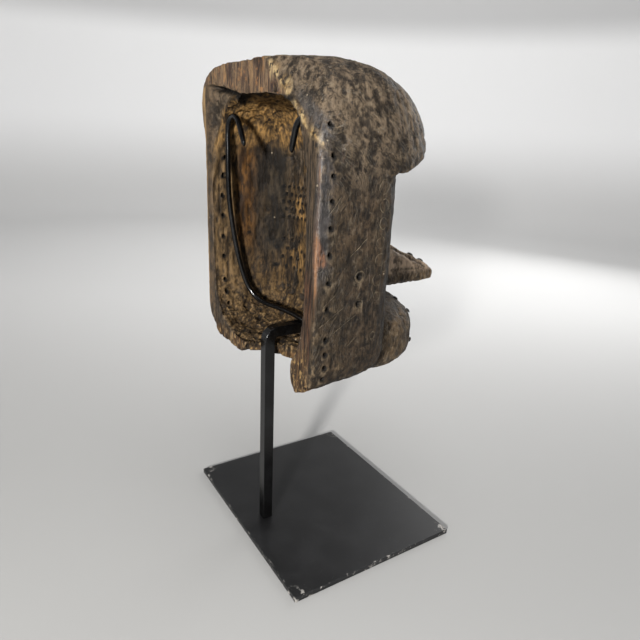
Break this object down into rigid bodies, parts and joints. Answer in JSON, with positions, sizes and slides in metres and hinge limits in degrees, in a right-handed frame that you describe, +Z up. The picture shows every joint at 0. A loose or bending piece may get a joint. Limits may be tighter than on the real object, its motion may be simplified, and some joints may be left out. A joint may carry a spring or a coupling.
{
  "type": "carved wooden mask on display stand",
  "caption": "Hollow carved wooden face mask with a domed brow, a beak and a jutting muzzle, resting on the bent rod of a black steel display stand.",
  "frame": {"origin": "centre of the base plate's underside", "axes": "+Z up; the mask looks along -Y and its hollow opens along +Y; the mask's own left side is at +X"},
  "size_m": [0.2238, 0.2235, 0.4421],
  "materials": {
    "carved_wood": "dark, handled and encrusted patina over carved wood, lighter where the rim is worn",
    "black_steel": "satin black paint, scuffed at the plate's corners",
    "aged_iron": "dull domed iron heads"
  },
  "bodies": {
    "root": {"mask": "carved_wood", "base_plate": "black_steel", "post": "black_steel", "cradle_rod": "black_steel", "beak_tack_1": "aged_iron", "beak_tack_2": "aged_iron", "beak_tack_3": "aged_iron", "beak_tack_4": "aged_iron", "jaw_tack_right_1": "aged_iron", "jaw_tack_right_2": "aged_iron", "jaw_tack_right_3": "aged_iron", "jaw_tack_right_4": "aged_iron", "jaw_tack_left_1": "aged_iron", "jaw_tack_left_2": "aged_iron", "jaw_tack_left_3": "aged_iron", "jaw_tack_left_4": "aged_iron"}
  },
  "joints": []
}
